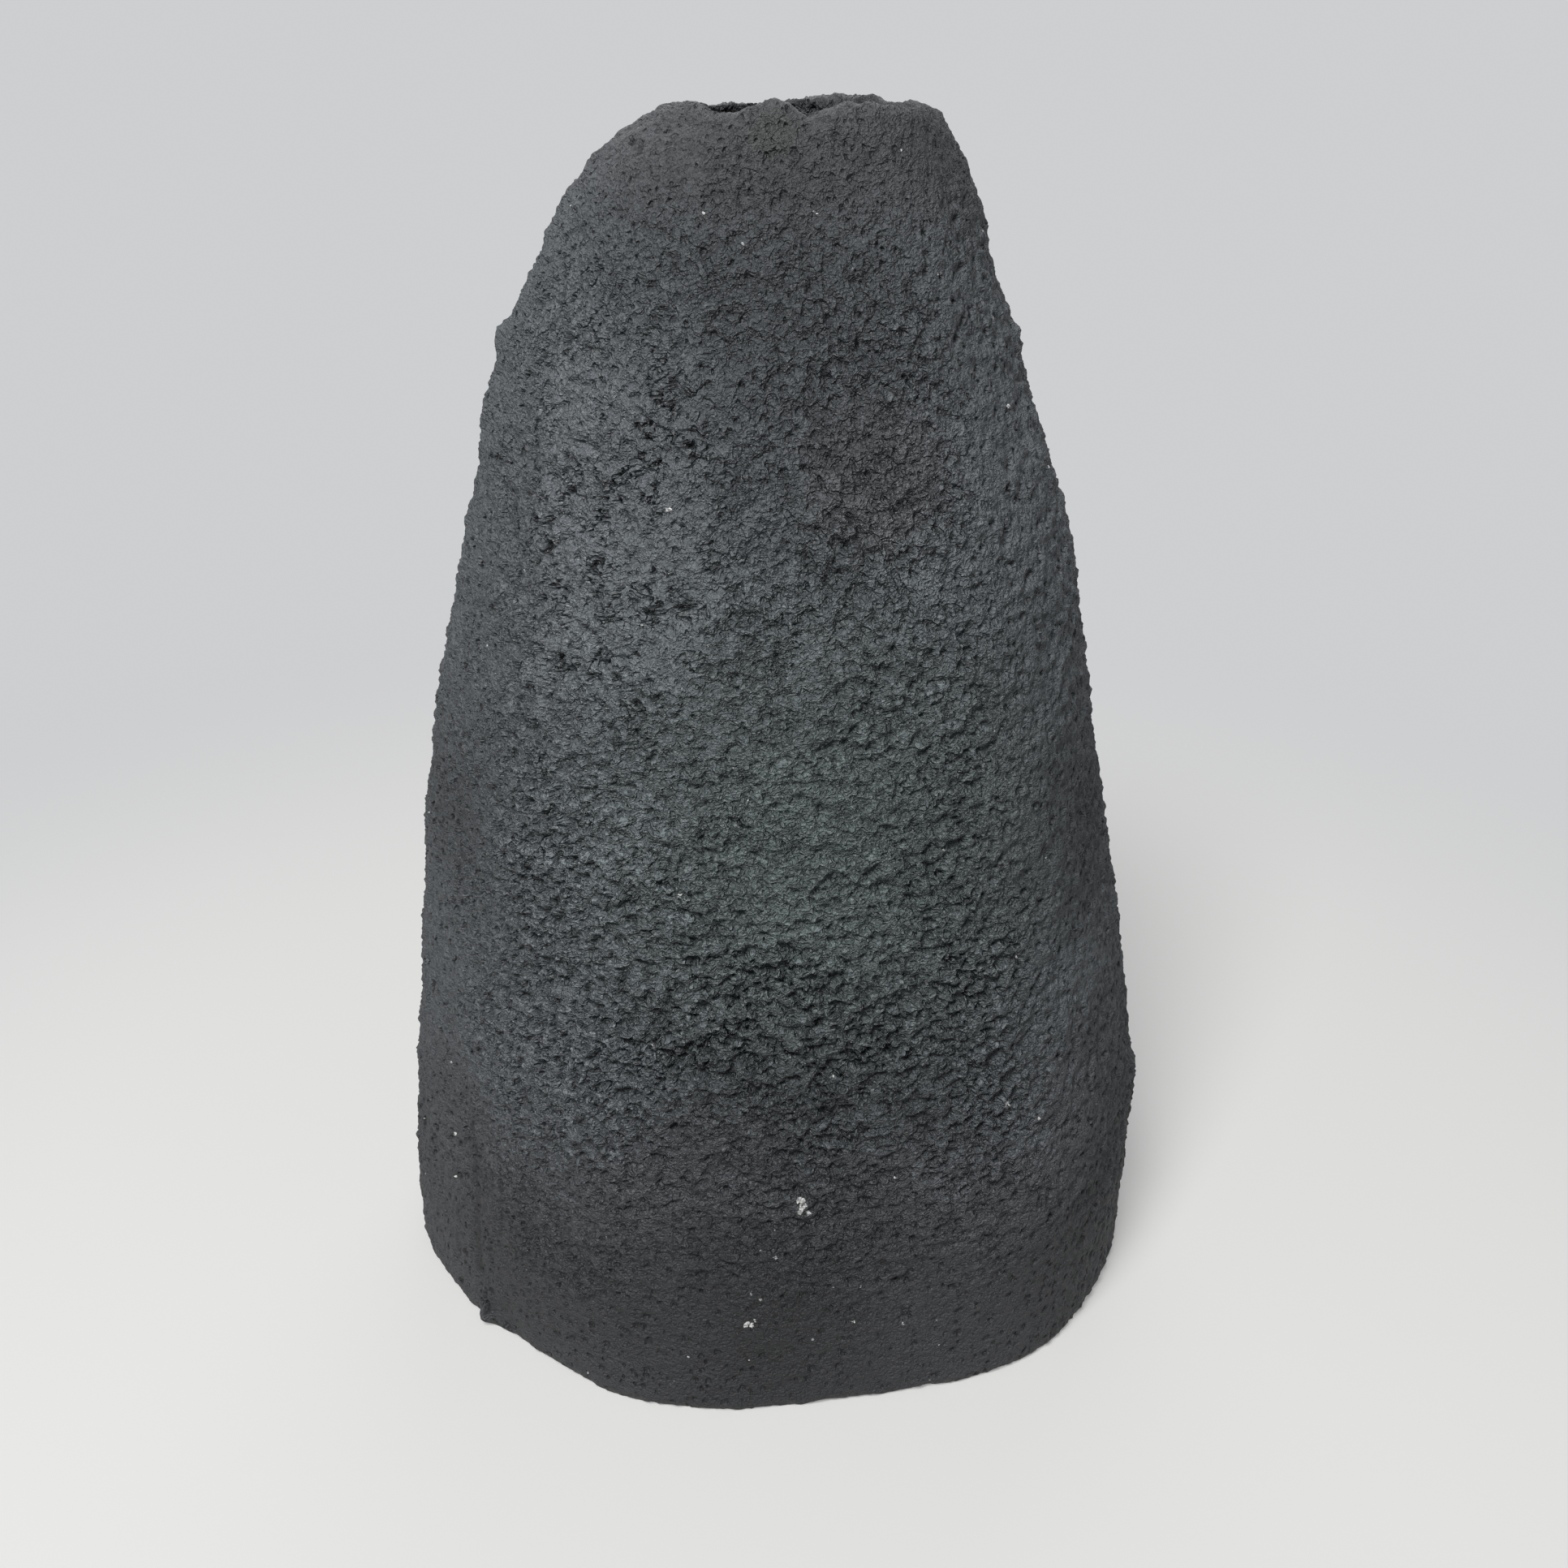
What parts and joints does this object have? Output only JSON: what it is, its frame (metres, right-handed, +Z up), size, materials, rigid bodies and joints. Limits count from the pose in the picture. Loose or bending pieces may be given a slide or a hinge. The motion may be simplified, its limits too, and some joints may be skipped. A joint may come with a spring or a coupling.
{
  "type": "stoneware vase",
  "caption": "Tall hand-built stoneware vase: leaning oval body that tapers to a small open mouth, rough dark grey unglazed skin, thin glaze inside, flat foot to stand on.",
  "frame": {"origin": "middle of the foot, on the surface the vase stands on", "axes": "+Z up along the height, -Y towards the viewer at the front, +X to the viewer's right"},
  "size_m": [0.1697, 0.1337, 0.25],
  "materials": {
    "wall_clay": "matte, rough, unglazed",
    "rim_clay": "matte, unglazed, chipped edge",
    "foot_clay": "matte, unglazed, worn edge",
    "liner_glaze": "satin glaze"
  },
  "bodies": {
    "root": {"floor_slab": "foot_clay", "front_wall": "wall_clay", "right_wall": "wall_clay", "back_wall": "wall_clay", "left_wall": "wall_clay", "floor_seam_coil": "wall_clay", "rim_coil": "rim_clay", "glaze_liner": "liner_glaze"}
  },
  "joints": []
}
